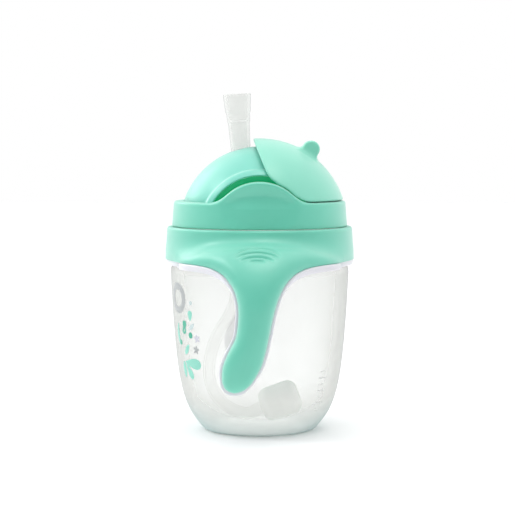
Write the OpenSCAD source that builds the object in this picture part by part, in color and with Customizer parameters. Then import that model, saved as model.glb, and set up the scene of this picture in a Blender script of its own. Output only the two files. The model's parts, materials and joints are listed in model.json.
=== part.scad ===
// Weighted-straw training cup with two handles and a sliding cover.
// Origin at the centre of the base, +Z up, drinking side towards -X, handles at +Y and -Y.

/* [Cup] */
// Widest radius of the cup
cup_r = 37.6; // [37.2:0.1:38]
// Wall thickness of the cup
cup_wall = 1.5; // [1.2:0.1:1.8]
// Thickness of the floor above the foot recess
floor_t = 2; // [1.6:0.1:2]
// Height of the seat that the handle ring rests on
seat_z = 70; // [68.6:0.1:70.4]
// Height of the drinking cup's rim
rim_z = 92.4; // [92:0.1:92.6]

/* [Handle ring] */
// Outer radius of the ring at its lower edge
ring_r = 39.9; // [39.6:0.1:40.4]
// Reach of the grips from the cup's axis
grip_reach = 61; // [58:0.5:64]
// Height of the lowest point of the grips
grip_z = 23.1; // [20.6:0.5:28.6]
// Thickness of the rigid core inside a grip
core_t = 2.6; // [2:0.1:3]

/* [Lid] */
// Radius of the collar at its lower edge
collar_r = 37; // [36.6:0.1:37.4]
// Height of the ledge around the dome
ledge_z = 96.9; // [96.6:0.1:97.2]
// Radius of the dome
dome_r = 33.8; // [33.6:0.1:34]
// Radius of the side ears about the cover's axis
ear_r = 19.6; // [19.2:0.1:19.8]
// Travel of the sliding cover
cover_travel = 67.7; // [60:0.1:68]

/* [Straw] */
// Height of the mouthpiece's tip
tip_z = 141.6; // [138.6:0.5:144.6]
// Outer diameter of the inner straw
tube_d = 5; // [4.6:0.1:5.4]
// Diameter of the drinking bore
bore_d = 3.4; // [3:0.1:3.8]

/* [Weight] */
// Diameter of the weight
weight_d = 14.5; // [13.5:0.5:14.5]
// Length of the weight
weight_l = 17; // [15:0.5:17]

/* [Hidden] */
$fn = 96;

mint = "#7fd8c0";
white = "#f2f3f5";
clear = "#e8f0f0";

pivot_z = 85.8;          // axis of the cover's arc tracks, parallel to Y
foot_r = 22.2;           // outside of the flat ring that the cup stands on
foot_in = 20.6;          // inside of that ring
foot_depth = 1.2;        // depth of the recess inside it
neck_r = 33.2;           // thread root on the cup's neck
rim_in = 31.6;           // inside of the neck and of the seal
ring_bore = 34.8;        // bore of the handle ring
core_r = 38.3;           // face between the rigid ring and its soft shell
lip_z = 72.3;            // lower edge of the soft shell on the ring
cap_z = 84.8;            // underside of the soft shell's top
ring_top = 86;
ring_top_r = 39.1;
collar_z = 86.2;
collar_top_r = 36.2;
collar_bore = 34.7;
hole_r = 32.2;           // hole in the ledge around the dome
ledge_t = 1.5;
dome_t = 1.8;
flange_r = 34.3;         // foot of the dome, held under the ledge
flange_t = 1.5;
flange_z = ledge_z - ledge_t - flange_t;
cover_r = 37.2;
cover_t = 1.6;
lip_r = 35.1;            // outside of the raised lips beside the tracks
lip_in = 21.8;
lip_out = 24.6;
undercut = 1.2;          // depth of the undercut beneath the lips
track_y = 22.6;          // floor of the arc tracks
hook_y = 24.1;           // underside of the lips
ear_y = 28;              // inner face of the ears
track_gap = 0.3;         // clearance of the cover's rails
edge_d = ledge_z - pivot_z + 0.2;   // distance of both cover edges from its axis
thread_lead = 8;
thread_turn = 110;       // how far each start runs round
thread_h = 1;
thread_w = 1.5;
cup_thread_z = 89.1;
collar_thread_z = 87.35;
spout_x = -7.8;          // bending point of the mouthpiece
spout_z = 115.6;
spout_r = 4.1;
spout_lean = 4;
spout_fold = 132;        // direction of the folded mouthpiece
spout_tip_r = 5.85;
spout_mouth_r = 4.85;    // inside of the thin wall at its tip
spout_l = (tip_z - spout_z) / cos(spout_lean);
slot_w = 13.4;           // width of the channel for the folded mouthpiece
slot_x = -3.1;           // its wall next to the upright mouthpiece
boss_r = 5.6;
boss_z = 97.8;
vent_turn = 40;
vent_r = 1.5;
vent_face = dome_r - 0.6;    // flat seat of the vent, from the cover's axis
vent_cap = 3.2;
vent_head = 2.4;         // inner head that holds the vent in its hole
holder_z = 95;
nozzle_r = 3.3;
nozzle_z = 90.6;
tube_top = 90.1;
weight_x = 8.7;
weight_y = -3;
weight_z = 12;
weight_tilt = 20;         // the weight leans on the floor with its inlet up
weight_round = 4.2;
sleeve_r = 2.6;
shell_t = 1.5;
hollow_r = weight_d / 2 - shell_t - 0.7;
knob_turn = 33.5;        // place of the cover's knob about its axis
knob_out = 39.3;
knob_r = 3.6;
knob_w = 15;

// Points along a cubic curve.
function bezier(a, b, c, d, n) = [for (i = [0:n]) let (t = i / n)
    (1 - t) ^ 3 * a + 3 * (1 - t) ^ 2 * t * b + 3 * (1 - t) * t ^ 2 * c + t ^ 3 * d];

// Points of a smooth curve through every route point, with n steps in each span.
function span(p0, p1, p2, p3, t) =
    0.5 * (2 * p1 + (p2 - p0) * t + (2 * p0 - 5 * p1 + 4 * p2 - p3) * t ^ 2
    + (3 * p1 - p0 - 3 * p2 + p3) * t ^ 3);
function smooth(p, n) = [for (i = [0:len(p) - 2], k = [0:n - 1])
    span(p[max(i - 1, 0)], p[i], p[i + 1], p[min(i + 2, len(p) - 1)], k / n), p[len(p) - 1]];

function unit(v) = v / norm(v);

// Closed skin over rings that all have the same number of points.
module skin(rings) {
    n = len(rings[0]);
    last = len(rings) - 1;
    points = [for (ring = rings) each ring];
    sides = [for (i = [0:last - 1], k = [0:n - 1]) let (m = (k + 1) % n)
        each [[i * n + k, i * n + m, (i + 1) * n + m], [i * n + k, (i + 1) * n + m, (i + 1) * n + k]]];
    polyhedron(points, concat([[for (k = [0:n - 1]) n - 1 - k]], sides,
        [[for (k = [0:n - 1]) last * n + k]]), convexity = 6);
}

// ---- Cup ----

function cup_side(inset) = bezier([24.4 - inset, 0.9], [31.9 - inset, 10.3], [35.3 - inset, 14],
    [cup_r - inset, 66.6], 18);

// One thread start: a ridge of trapezoid section that climbs along a helix.
module thread_ridge(r, out, z0, start) {
    steps = 16;
    sunk = 0.4;
    skin([for (i = [0:steps]) let (turned = thread_turn * i / steps, a = start + turned,
        z = z0 + thread_lead * turned / 360,
        h = thread_h * min(1, 0.25 + 0.75 * min(i, steps - i) / 2))
        [for (q = [[-sunk, -1], [h, -0.5], [h, 0.5], [-sunk, 1]])
            [(r + out * q[0]) * cos(a), (r + out * q[0]) * sin(a), z + out * q[1] * thread_w / 2]]]);
}

module cup_body() {
    band_r = ring_bore - 0.2;               // plain band that the handle ring slips over
    floor_z = foot_depth + floor_t;
    color(clear, 0.45) difference() {
        union() {
            rotate_extrude() polygon(concat([[0, 0], [foot_r, 0], [foot_r + 1.3, 0.35]], cup_side(0),
                [[cup_r - 0.4, seat_z - 1], [cup_r - 1, seat_z], [band_r, seat_z],
                 [band_r, ring_top - 1.4], [neck_r, ring_top], [neck_r, rim_z - 0.3],
                 [neck_r - 0.4, rim_z], [0, rim_z]]));
            for (start = [0, 180]) thread_ridge(neck_r, 1, cup_thread_z, start);
        }
        rotate_extrude() polygon(concat([[0, floor_z], [foot_in, floor_z], [foot_in + 2.4, floor_z + 0.7]],
            [for (p = cup_side(cup_wall)) if (p[1] > floor_z + 1.7 && p[1] < seat_z - 4) p],
            [[cup_r - cup_wall - 0.5, seat_z - 3.2], [rim_in + 0.8, seat_z + 2.2],
             [rim_in, seat_z + 4.6], [rim_in, rim_z + 1], [0, rim_z + 1]]));
        translate([0, 0, -1]) rotate_extrude()
            polygon([[0, 0], [foot_in, 0], [foot_in - 0.5, foot_depth + 1], [0, foot_depth + 1]]);
    }
}

// ---- Handle ring ----

// Stations along a grip: reach and height of the parting face, its tilt, the half width,
// the sideways shift towards the drinking side and the thickness of the soft shell.
GRIP = [
    [22.0, 72.3, 0, 33.0, 0.0, 10.6],
    [30.0, 72.3, 0, 31.6, 0.0, 11.0],
    [36.0, 72.3, 0, 28.6, 0.0, 10.9],
    [41.0, 72.1, 6, 24.2, -0.1, 10.0],
    [45.5, 71.3, 18, 19.2, -0.3, 8.0],
    [49.5, 69.4, 34, 14.8, -0.5, 6.2],
    [52.4, 66.2, 56, 11.4, -0.6, 5.6],
    [54.0, 62.2, 76, 9.0, -0.7, 5.7],
    [54.7, 56.6, 88, 7.4, -1.1, 6.1],
    [55.0, 50.6, 90, 6.7, -1.9, 6.0],
    [55.1, 44.6, 90, 6.6, -3.0, 5.9],
    [55.2, 38.6, 90, 7.4, -5.2, 5.8],
    [55.2, 33.6, 90, 7.6, -6.9, 5.6],
    [55.2, 29.1, 90, 6.6, -8.3, 5.0],
    [55.2, 26.2, 90, 5.3, -9.1, 4.0],
    [55.2, 24.2, 90, 3.4, -9.6, 2.6],
    [55.2, 23.1, 90, 0.8, -9.8, 1.2],
];
stations = smooth(GRIP, 3);
grip_shift = grip_reach - 61;
grip_drop = (23.1 - grip_z) / (57.6 - 23.1);

// A point of a station: x across, v outwards from the parting face.
function on_station(s, x, v) = let (y = s[0] + grip_shift * max(0, min(1, (s[0] - 36) / 19)),
    z = s[1] - grip_drop * max(0, 57.6 - s[1]))
    [x + s[4], -(y + v * sin(s[2])), z + v * cos(s[2])];

// Height of a rounded section over its half width, both from 0 to 1.
function bulge(a) = [-sign(cos(a)) * abs(cos(a)) ^ 0.75, sin(a) ^ 0.75];

module grip_shell() {
    skin([for (s = stations) [for (a = [0:15:180])
        on_station(s, s[3] * bulge(a)[0], s[5] * bulge(a)[1])]]);
}

module grip_core() {
    rim = 1.2;
    skin([for (s = stations) [for (q = [[-1, 0], [1, 0], [1, -0.55], [0.8, -1], [-0.8, -1], [-1, -0.55]])
        on_station(s, q[0] * (s[3] + rim), q[1] * core_t)]]);
}

module both_sides() {
    children();
    mirror([0, 1, 0]) children();
}

module handle_core() {
    color(white) union() {
        rotate_extrude() polygon([[ring_bore, seat_z], [ring_r - 0.9, seat_z], [ring_r - 0.5, seat_z + 0.5],
            [ring_r - 0.5, lip_z], [core_r, lip_z], [core_r, cap_z], [ring_bore, cap_z]]);
        difference() {
            both_sides() grip_core();
            cylinder(r = core_r - 0.6, h = 100);
        }
    }
}

module handle_grip() {
    color(mint) difference() {
        union() {
            rotate_extrude() polygon([[core_r, lip_z], [ring_r, lip_z], [ring_top_r, cap_z],
                [ring_top_r - 0.2, cap_z + 0.7], [ring_top_r - 0.8, ring_top], [ring_bore + 0.4, ring_top],
                [ring_bore + 0.4, cap_z], [core_r, cap_z]]);
            both_sides() grip_shell();
        }
        translate([0, 0, cap_z - 20]) cylinder(r = core_r, h = 20);
    }
}

// ---- Lid ----

// Turns a sketch in the X and Z directions, drawn about the cover's axis, into a slab across Y.
module across(w) {
    translate([0, 0, pivot_z]) rotate([90, 0, 0]) linear_extrude(w, center = true) children();
}

module ball(r) {
    translate([0, 0, pivot_z]) sphere(r, $fn = 128);
}

// Keeps what lies farther out than y on both sides.
module beyond(y) {
    difference() {
        translate([-60, -60, 0]) cube([120, 120, 160]);
        translate([-61, -y, -1]) cube([122, 2 * y, 162]);
    }
}

module ring_2d(inner, outer) {
    difference() {
        circle(outer);
        circle(inner);
    }
}

module ear_outline() {
    f = 2;                                  // fillet between the ear and the ledge
    top = ledge_z - pivot_z;
    cx = sqrt((ear_r + f) ^ 2 - (top + f) ^ 2);
    touch = [cx, top + f] * ear_r / (ear_r + f);
    intersection() {
        circle(ear_r);
        translate([-40, top - 1]) square([80, 40]);
    }
    for (side = [-1, 1]) difference() {
        polygon([for (p = [[cx - 3, top - 1], [cx, top - 1], [cx, top + f], touch, [cx - 3, top]])
            [side * p[0], p[1]]]);
        translate([side * cx, top + f]) circle(f);
    }
}

module lid_collar() {
    round_r = 1.2;
    color(mint) {
        rotate_extrude() polygon(concat([[hole_r, ledge_z - ledge_t], [collar_bore, ledge_z - ledge_t],
            [collar_bore, collar_z], [collar_r - 0.4, collar_z], [collar_r, collar_z + 0.4]],
            [for (a = [0:15:90]) [collar_top_r - round_r + round_r * cos(a),
                ledge_z - round_r + round_r * sin(a)]], [[hole_r, ledge_z]]));
        intersection() {
            across(100) ear_outline();
            translate([0, 0, ledge_z - 1]) cylinder(r = collar_top_r, h = 20);
            beyond(ear_y);
        }
        for (start = [0, 180]) thread_ridge(collar_bore, -1, collar_thread_z, start);
    }
}

fold = [-sin(spout_fold), cos(spout_fold)];     // along the folded mouthpiece
away = [cos(spout_fold), sin(spout_fold)];      // from its underside to its upper side
bend = [spout_x, spout_z - pivot_z];            // bending point about the cover's axis

// Outline of the channel that takes the folded mouthpiece, grown by g.
module channel_outline(g) {
    high = bend - away * (spout_r + 0.5 + g);
    low = bend + fold * (spout_l + 0.9 + g) - away * (spout_tip_r + 0.5 + g);
    wall = high + (low - high) * (slot_x + g - high[0]) / (low[0] - high[0]);
    sill = edge_d - g;
    foot = low + away * (sill - low[1]) / away[1];
    polygon([[slot_x + g, 45], wall, low, foot, [-45, sill], [-45, 45]]);
}

module dome_skin() {
    flat_y = ear_y - 0.2;
    intersection() {
        ball(dome_r);
        translate([0, 0, ledge_z - 3]) cylinder(r = hole_r - 0.2, h = 60);
        union() {
            translate([-60, -flat_y, 0]) cube([120, 2 * flat_y, 160]);
            across(120) ring_2d(ear_r, 80);
        }
    }
    translate([0, 0, flange_z]) cylinder(r = flange_r, h = flange_t);
    intersection() {
        ball(lip_r);
        across(120) ring_2d(lip_in, lip_out);
        beyond(track_y - 1);
        translate([0, 0, ledge_z]) cylinder(r = 60, h = 60);
    }
}

module dome_hollow() {
    intersection() {
        ball(dome_r - dome_t);
        union() {
            across(2 * (track_y - dome_t)) circle(60);
            across(2 * (ear_y - dome_t)) circle(ear_r - dome_t);
        }
    }
}

module lid_dome() {
    color(mint) difference() {
        union() {
            difference() {
                dome_skin();
                dome_hollow();
            }
            intersection() {
                across(slot_w + 2 * dome_t) channel_outline(dome_t);
                ball(dome_r - 0.3);
                cylinder(r = hole_r - 1, h = 160);
            }
            translate([spout_x, 0, boss_z]) cylinder(r = boss_r, h = 15);
        }
        across(slot_w) channel_outline(0);
        translate([spout_x, 0, boss_z - 1]) cylinder(r = spout_r, h = 20);
        intersection() {
            union() {
                across(120) ring_2d(ear_r, lip_in);
                across(2 * hook_y) ring_2d(ear_r, lip_in + undercut);
            }
            beyond(track_y);
            translate([0, 0, ledge_z]) cylinder(r = 60, h = 60);
        }
        on_vent() {
            cylinder(r = vent_r, h = 50);
            translate([0, 0, vent_face]) cylinder(r = vent_cap + 0.3, h = 5);
        }
    }
}

module on_vent() {
    translate([0, 0, pivot_z]) rotate([0, vent_turn, 0]) children();
}

module vent_valve() {
    color(clear) on_vent() difference() {
        union() {
            translate([0, 0, vent_face]) cylinder(r = vent_cap, h = 1.3);
            translate([0, 0, vent_face - 2.7]) cylinder(r = vent_r - 0.03, h = 3);
            translate([0, 0, vent_face - 4.8]) cylinder(r = vent_head, h = 3.4);
        }
        translate([0, 0, vent_face - 6.2]) cylinder(r = 0.8, h = 5.4);
    }
}

// Both edges of the cover are flat cuts at the same distance from its axis.
module cover_outline() {
    intersection() {
        rotate(-cover_travel) translate([-80, edge_d]) square(160);
        translate([-80, edge_d]) square(160);
    }
}

module slide_cover() {
    rail = ear_r + track_gap;
    color(mint) {
        intersection() {
            across(120) cover_outline();
            union() {
                difference() {
                    ball(cover_r);
                    ball(cover_r - cover_t);
                    across(120) circle(rail);
                }
                intersection() {
                    ball(cover_r - 0.4);
                    beyond(track_y + track_gap);
                    across(120) ring_2d(rail, lip_in - track_gap);
                }
                intersection() {
                    across(2 * (hook_y - 0.2)) ring_2d(rail, lip_in + undercut - track_gap);
                    beyond(track_y + track_gap);
                }
            }
        }
        translate([0, 0, pivot_z]) rotate([0, knob_turn, 0]) {
            translate([0, 0, knob_out]) rotate([90, 0, 0]) cylinder(r = knob_r, h = knob_w, center = true);
            translate([-knob_r, -knob_w / 2, cover_r - 0.9])
                cube([2 * knob_r, knob_w, knob_out - cover_r + 0.9]);
        }
    }
}

module rim_seal() {
    color(white) translate([0, 0, rim_z]) difference() {
        cylinder(r = flange_r - 0.2, h = flange_z - rim_z);
        translate([0, 0, -1]) cylinder(r = rim_in, h = 5);
    }
}

// ---- Mouthpiece and straw ----

module mouthpiece() {
    color(clear, 0.5) translate([spout_x, 0, spout_z]) rotate([0, -spout_lean, 0]) difference() {
        union() {
            sphere(spout_r);
            rotate_extrude() polygon([[0, 0], [spout_r, 0], [spout_r, 3], [4.95, 14.6], [5.3, 20],
                [spout_tip_r, spout_l - 0.5], [spout_tip_r - 0.5, spout_l], [0, spout_l]]);
        }
        rotate_extrude() polygon([[0, -10], [bore_d / 2, -10], [bore_d / 2, 1], [3.1, 2.6], [3.6, 14],
            [3.95, 15.2], [spout_mouth_r, spout_l + 0.1], [0, spout_l + 0.1]]);
    }
}

module mouthpiece_root() {
    top = bend - away * (spout_r + 0.05);
    far = 20;
    color(clear, 0.5) difference() {
        union() {
            intersection() {
                translate([spout_x, 0, boss_z - 1]) cylinder(r = spout_r - 0.05, h = far);
                across(far) polygon([top - fold * far, top + fold * far, top + (fold - away) * far,
                    top - (fold + away) * far]);
            }
            translate([spout_x, 0, boss_z - 1.4]) cylinder(r = boss_r - 0.1, h = 1.4);
        }
        translate([spout_x, 0, 90]) cylinder(d = bore_d, h = 50);
    }
}

module straw_holder() {
    color(white) translate([spout_x, 0, 0]) difference() {
        union() {
            translate([0, 0, holder_z]) cylinder(r = boss_r + 1.3, h = 4.2);
            translate([0, 0, nozzle_z]) cylinder(r = nozzle_r, h = 5);
        }
        translate([0, 0, holder_z + 1.4]) cylinder(r = boss_r + 0.05, h = 10);
        translate([0, 0, nozzle_z - 1]) cylinder(d = bore_d, h = 10);
    }
}

// Route of the inner straw, from its holder down to the weight.
TUBE = [[-7.8, 0, tube_top], [-7.8, 0, 84.6], [-8, 0, 76.6], [-8.6, 0, 68.6], [-9.4, 0, 60.6],
    [-10.8, 0, 52.6], [-13.6, 0, 46.6], [-17, 0.2, 41.1], [-19.8, 0.5, 34.6], [-21.4, 0.9, 27.6],
    [-21.4, 1.3, 21.1], [-19.4, 1.6, 15], [-15.6, 1.6, 10.2], [-11, 1, 7.3], [-6.6, 0, 6.1],
    [-3.4, -1.2, 6.6]];

module straw_tube() {
    sides = 12;
    start = on_weight(-weight_l / 2);
    end_dir = [cos(weight_tilt), 0, sin(weight_tilt)];
    route = concat(smooth(concat(TUBE, [start - end_dir * 0.6]), 3), [start]);
    n = len(route) - 1;
    color(clear, 0.5) skin([for (i = [0:n])
        let (t = i == 0 ? [0, 0, -1] : i >= n - 1 ? end_dir : unit(route[i + 1] - route[i - 1]),
            u = unit(cross([0, 1, 0], t)), v = cross(t, u))
        [for (k = [0:sides - 1]) let (a = 360 * k / sides)
            route[i] + tube_d / 2 * (cos(a) * u + sin(a) * v)]]);
}

// ---- Weight ----

function on_weight(s) = [weight_x + s * cos(weight_tilt), weight_y, weight_z + s * sin(weight_tilt)];

module in_weight() {
    translate([weight_x, weight_y, weight_z]) rotate([0, 90 - weight_tilt, 0]) children();
}

module weight_half() {
    half = weight_l / 2;
    rotate_extrude() polygon(concat([[sleeve_r, half], [sleeve_r, half - shell_t], [hollow_r, half - shell_t],
        [hollow_r, 0], [weight_d / 2, 0]],
        [for (a = [0:15:90]) [weight_d / 2 - weight_round * (1 - cos(a)),
            half - weight_round * (1 - sin(a))]]));
}

module weight_front_shell() {
    color(white) in_weight() weight_half();
}

module weight_rear_shell() {
    color(white) in_weight() mirror([0, 0, 1]) weight_half();
}

module weight_core() {
    color("silver") in_weight() difference() {
        cylinder(r = hollow_r - 0.1, h = weight_l - 2 * shell_t, center = true);
        cylinder(r = sleeve_r + 0.1, h = weight_l, center = true);
    }
}

module weight_sleeve() {
    color(white) in_weight() difference() {
        cylinder(r = sleeve_r, h = weight_l, center = true);
        cylinder(d = bore_d, h = weight_l + 2, center = true);
    }
}

cup_body();
handle_core();
handle_grip();
lid_collar();
lid_dome();
slide_cover();
rim_seal();
vent_valve();
mouthpiece();
mouthpiece_root();
straw_holder();
straw_tube();
weight_rear_shell();
weight_front_shell();
weight_core();
weight_sleeve();
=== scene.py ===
"""Looks of the weighted-straw training cup, around the solids of its frame.

Shapes are worked out in millimetres and turned into meshes in metres. Smooth moulded parts are distance
fields: a field is negative inside the part, and its mesh is the surface where it is zero. The cup's axis
is Z, its drinking side faces -X and its grips stand at -Y and +Y.
"""
import json
import math

import bmesh
import bpy
import numpy as np
import openvdb
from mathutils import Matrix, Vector


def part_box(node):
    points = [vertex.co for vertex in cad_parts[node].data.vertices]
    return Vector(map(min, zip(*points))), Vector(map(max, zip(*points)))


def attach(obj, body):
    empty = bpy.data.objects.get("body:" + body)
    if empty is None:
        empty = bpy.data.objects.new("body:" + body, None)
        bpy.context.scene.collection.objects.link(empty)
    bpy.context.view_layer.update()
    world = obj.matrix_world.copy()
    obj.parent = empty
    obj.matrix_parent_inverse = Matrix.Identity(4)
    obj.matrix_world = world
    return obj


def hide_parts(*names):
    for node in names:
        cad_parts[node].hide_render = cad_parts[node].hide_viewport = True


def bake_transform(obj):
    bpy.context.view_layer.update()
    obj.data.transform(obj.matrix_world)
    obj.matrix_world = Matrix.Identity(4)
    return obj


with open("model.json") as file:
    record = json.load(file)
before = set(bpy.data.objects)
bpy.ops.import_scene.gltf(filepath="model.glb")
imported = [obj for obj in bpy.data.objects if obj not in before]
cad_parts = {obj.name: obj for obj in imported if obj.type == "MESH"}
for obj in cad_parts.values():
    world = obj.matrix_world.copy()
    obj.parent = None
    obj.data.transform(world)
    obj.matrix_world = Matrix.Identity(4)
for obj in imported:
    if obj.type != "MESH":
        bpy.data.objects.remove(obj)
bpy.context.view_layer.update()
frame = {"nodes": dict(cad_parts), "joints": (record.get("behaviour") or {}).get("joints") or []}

MM = 0.001
joints = {joint["name"]: joint for joint in frame["joints"]}


def highest(node):
    """Highest corner of a CAD node, in millimetres."""
    return np.array(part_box(node)[1]) / MM


# ---------------------------------------------------------------- driving sizes, in millimetres

# Cup
CUP_R = highest("cup_body")[0]
RIM_Z = highest("cup_body")[2]
CUP_WALL = 1.5
FLOOR_Z = 3.2                # top of the cup's bottom
SEAT_Z = 70.0                # shoulder that the handle ring sits on
NECK_R = 33.2
NECK_IN = 31.6
BAND_R = 34.6                # band that the handle ring fits round

# Handle ring: a soft shell over a rigid core
RING_R = highest("handle_core")[0] + 0.5
RING_TOP = highest("handle_grip")[2]
RING_Z = 72.3                # lower edge of the soft ring
RING_CAP = 84.8              # top of the rigid ring, under the soft one
RING_BORE = 34.8
CORE_R = 38.3
CORE_T = 2.6
CORE_RIM = 1.2               # width of the core that shows round the shell

# Lid collar: a ring, a ledge that holds the dome and an ear on each side
PIVOT_Z = joints["cover_slide"]["pos_m"][2] / MM
TRAVEL = math.radians(joints["cover_slide"]["range_deg"][1])
COLLAR_Z = 86.2
COLLAR_R = highest("lid_collar")[0]
COLLAR_TOP_R = 36.2
COLLAR_BORE = 34.7
LEDGE_Z = 96.9
LEDGE_T = 1.5
HOLE_R = 32.2                # hole in the ledge, which the dome comes up through
EAR_R = highest("lid_collar")[2] - PIVOT_Z
EAR_Y = 28.0                 # inner face of an ear
THREAD_LEAD = 8.0

# Dome, with a lip along each arc track, and the cover whose rails run in the tracks
DOME_R = 33.8
DOME_T = 1.8
FLANGE_R = highest("lid_dome")[0]
LIP_R = 35.1
LIP_IN = 21.8                # the lip's edges, from the cover's axis
LIP_OUT = 24.6
UNDERCUT = 1.2
TRACK_Y = 22.6               # floor of a track
HOOK_Y = 24.1                # outer side of the undercut in it
COVER_R = 37.2
COVER_T = 1.6
EDGE = LEDGE_Z - PIVOT_Z + 0.2
GAP = 0.3
KNOB_TURN = math.radians(33.5)
KNOB_OUT = 39.3
KNOB_R = 3.6
KNOB_W = 15.0

# Mouthpiece, the channel that it folds into, the boss that it comes through and the air vent
BEND = np.array(joints["mouthpiece_fold"]["pos_m"]) / MM
LEAN = math.radians(4)
FOLD = math.radians(132)
SPOUT_R = 4.1
SPOUT_L = 26.06
TIP_R = 5.85
SLOT_W = 13.4
SLOT_X = -3.1
BOSS_R = 5.6
BOSS_Z = 97.8
VENT_TURN = math.radians(40)
VENT_FACE = DOME_R - 0.6
VENT_R = 3.2

# Straw and weight
TUBE_R = 2.5
TUBE_BORE = 1.7
TUBE_TOP = joints["straw_swing"]["pos_m"][2] / MM
WEIGHT_R = 7.25
WEIGHT_L = 17.0
WEIGHT_ROUND = 4.2
WEIGHT_AT = np.array([8.7, -3.0, 12.0])
WEIGHT_TILT = math.radians(20)


# ---------------------------------------------------------------- camera

EYE = (-0.0009, -0.7, 0.1226)
EYE_AIM = (-0.0009, 0, 0.0726)
FOCAL_LENGTH = 115.7
SENSOR_WIDTH = 36


def look_at(thing, point):
    """Turns a camera or a lamp towards a point."""
    thing.rotation_euler = (Vector(point) - thing.location).to_track_quat("-Z", "Y").to_euler()


def make_camera():
    camera = bpy.data.objects.new("camera", bpy.data.cameras.new("camera"))
    bpy.context.scene.collection.objects.link(camera)
    bpy.context.scene.camera = camera
    camera.data.lens = FOCAL_LENGTH
    camera.data.sensor_width = SENSOR_WIDTH
    camera.location = EYE
    look_at(camera, EYE_AIM)


make_camera()


# ---------------------------------------------------------------- mesh tools

def smooth(points, steps):
    """Points of a smooth curve through every given point, with a number of steps in each span."""
    p = np.array(points, float)
    last = len(p) - 1
    made = []
    for i in range(last):
        a, b, c, d = p[max(i - 1, 0)], p[i], p[i + 1], p[min(i + 2, last)]
        for t in np.arange(steps) / steps:
            bent = (2 * a - 5 * b + 4 * c - d) * t**2 + (3 * b - a - 3 * c + d) * t**3
            made.append(0.5 * (2 * b + (c - a) * t + bent))
    return np.array(made + [p[last]])


def bezier(a, b, c, d, steps):
    """Points along a cubic curve."""
    t = np.linspace(0, 1, steps + 1)[:, None]
    a, b, c, d = (np.array(p, float) for p in (a, b, c, d))
    return (1 - t) ** 3 * a + 3 * (1 - t) ** 2 * t * b + 3 * (1 - t) * t**2 * c + t**3 * d


def add_mesh(name, points, faces, sharp=40):
    """Smooth-shaded object from points in millimetres, turned so that its faces point outwards."""
    mesh = bpy.data.meshes.new(name)
    mesh.from_pydata((np.array(points, float) * MM).tolist(), [], [list(face) for face in faces])
    shape = bmesh.new()
    shape.from_mesh(mesh)
    bmesh.ops.remove_doubles(shape, verts=shape.verts, dist=1e-7)
    if shape.calc_volume(signed=True) < 0:
        bmesh.ops.reverse_faces(shape, faces=shape.faces)
    shape.to_mesh(mesh)
    shape.free()
    mesh.polygons.foreach_set("use_smooth", [True] * len(mesh.polygons))
    mesh.set_sharp_from_angle(angle=math.radians(sharp))
    made = bpy.data.objects.new(name, mesh)
    bpy.context.scene.collection.objects.link(made)
    return made


def merge(first, *others):
    """Joins closed pieces of one moulding into the first object."""
    with bpy.context.temp_override(active_object=first, selected_editable_objects=[first, *others]):
        bpy.ops.object.join()
    return first


def ring_faces(rings, sides, closed=False):
    """Quads between rings of points that follow each other."""
    made = []
    for i in range(rings if closed else rings - 1):
        a, b = i * sides, (i + 1) % rings * sides
        for k in range(sides):
            m = (k + 1) % sides
            made.append((a + k, a + m, b + m, b + k))
    return made


def lathe(name, outline, sides=160, sharp=32):
    """Closed solid of revolution whose section runs through (radius, height) points."""
    r, z = np.array(outline, float).T
    turn = np.linspace(0, 2 * math.pi, sides, endpoint=False)
    points = np.stack([r[:, None] * np.cos(turn), r[:, None] * np.sin(turn),
                       np.broadcast_to(z[:, None], (len(z), sides))], axis=2).reshape(-1, 3)
    on_axis = r[0] == 0 and r[-1] == 0
    return add_mesh(name, points, ring_faces(len(r), sides, closed=not on_axis), sharp)


def sweep(name, route, outer, inner, sides=28):
    """Hollow tube along a route, in millimetres."""
    route = np.array(route, float)
    ahead = np.gradient(route, axis=0)
    ahead /= np.linalg.norm(ahead, axis=1)[:, None]
    across = np.cross(ahead, [0, 1, 0])
    across /= np.linalg.norm(across, axis=1)[:, None]
    other = np.cross(ahead, across)
    turn = np.linspace(0, 2 * math.pi, sides, endpoint=False)[None, :, None]
    around = across[:, None] * np.cos(turn) + other[:, None] * np.sin(turn)
    skins = [route[:, None] + around * outer, (route[:, None] + around * inner)[::-1]]
    points = np.concatenate(skins).reshape(-1, 3)
    return add_mesh(name, points, ring_faces(2 * len(route), sides, closed=True), 50)


def thread(name, radius, out, start_z):
    """The two starts of a screw thread: ridges that climb along a helix and fade out at both ends."""
    sides = [(-0.4, -1), (1, -0.5), (1, 0.5), (-0.4, 1)]     # depth and rise of the ridge's section
    width, run, steps = 1.5, math.radians(110), 44
    points, faces = [], []
    for start in (0, math.pi):
        first = len(points)
        for i in range(steps + 1):
            angle = start + run * i / steps
            high = min(1, 0.2 + min(i, steps - i) / 5)
            z = start_z + THREAD_LEAD * (angle - start) / (2 * math.pi)
            for depth, rise in sides:
                r = radius + out * (depth * high if depth > 0 else depth)
                points.append((r * math.cos(angle), r * math.sin(angle), z + rise * width / 2))
        n = len(sides)
        faces += [tuple(first + k for k in face) for face in ring_faces(steps + 1, n)]
        faces += [tuple(range(first, first + n))[::-1], tuple(range(len(points) - n, len(points)))]
    return add_mesh(name, points, faces)


# ---------------------------------------------------------------- distance fields

def join(a, b, r):
    """Union of two fields with a fillet about r wide."""
    h = np.clip(0.5 + 0.5 * (b - a) / r, 0, 1)
    return b + (a - b) * h - r * h * (1 - h)


def meet(a, b, r):
    """What two fields share, with its edge rounded over about r."""
    return -join(-a, -b, r)


def cut(a, b, r):
    """The first field without the second, with the new edge rounded over about r."""
    return meet(a, -b, r)


def between(value, low, high):
    """Field of the points whose value lies between two limits."""
    return np.abs(value - (low + high) / 2) - (high - low) / 2


VOXEL = 0.42
SLOPE_STEP = 0.04            # half the distance over which a field's slope is taken


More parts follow.
